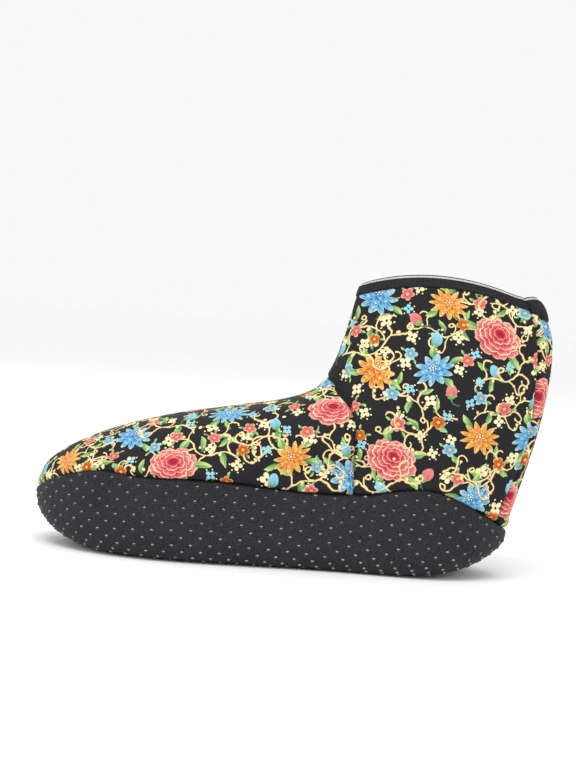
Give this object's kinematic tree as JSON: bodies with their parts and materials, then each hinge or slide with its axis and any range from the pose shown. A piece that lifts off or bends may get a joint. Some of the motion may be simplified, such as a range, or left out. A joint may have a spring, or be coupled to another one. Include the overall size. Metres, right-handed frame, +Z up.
{
  "type": "slipper sock",
  "caption": "Ankle-high slipper sock for the left foot: hollow foam-knit upper with a slack shaft and collar band on a cupped soft grip sole.",
  "frame": {"origin": "on the floor, under the middle of the sock's box", "axes": "+X from the toe to the heel, -Y to the outer side of the left foot, +Z up"},
  "size_m": [0.2642, 0.0934, 0.1521],
  "materials": {
    "grip_knit": "matte black foam knit with small raised grip dots",
    "printed_knit": "matte black foam knit with a bright floral print",
    "band_knit": "plain black foam knit with a light cut edge"
  },
  "bodies": {
    "root": {"sole": "grip_knit", "upper": "printed_knit", "collar_band": "band_knit"}
  },
  "joints": []
}
